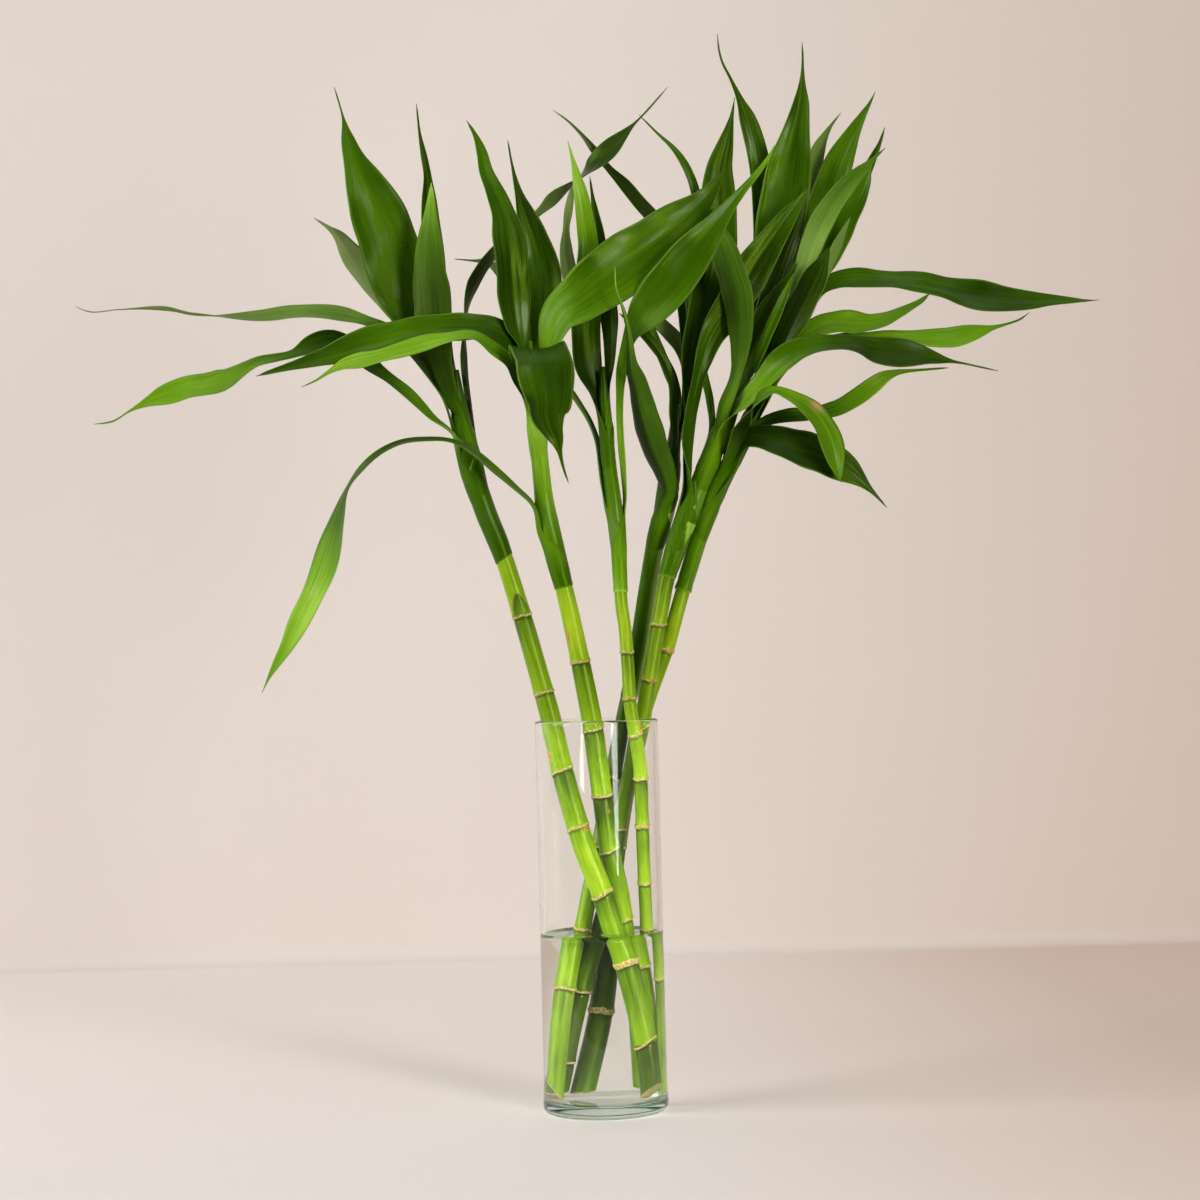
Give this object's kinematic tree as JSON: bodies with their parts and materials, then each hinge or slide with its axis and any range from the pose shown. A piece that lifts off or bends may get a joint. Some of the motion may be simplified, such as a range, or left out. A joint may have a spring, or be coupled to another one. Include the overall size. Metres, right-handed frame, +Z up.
{
  "type": "lucky bamboo in a glass vase",
  "caption": "Lucky bamboo: cut canes with long waved leaves, standing in water in a clear glass cylinder vase.",
  "frame": {"origin": "centre of the vase's underside, on the surface it stands on", "axes": "+Z up along the vase's axis; -Y is the front, the side the picture was taken from; +X is to the right"},
  "size_m": [0.5118, 0.0749, 0.5386],
  "materials": {
    "glass": "smooth clear glass with a faint grey-green tint in the thick foot",
    "water": "clear still water with a smooth surface",
    "cane": "smooth yellow-green plant stem with pale brown leaf scars",
    "leaf": "dark green leaf with fine lengthwise veins and a soft waxy sheen"
  },
  "bodies": {
    "root": {"vase": "glass", "water": "water", "cane_a": "cane", "leaves_a": "leaf", "cane_b": "cane", "leaves_b": "leaf", "cane_c": "cane", "leaves_c": "leaf", "cane_d": "cane", "leaves_d": "leaf", "cane_e": "cane", "leaves_e": "leaf", "cane_f": "cane", "leaves_f": "leaf"}
  },
  "joints": []
}
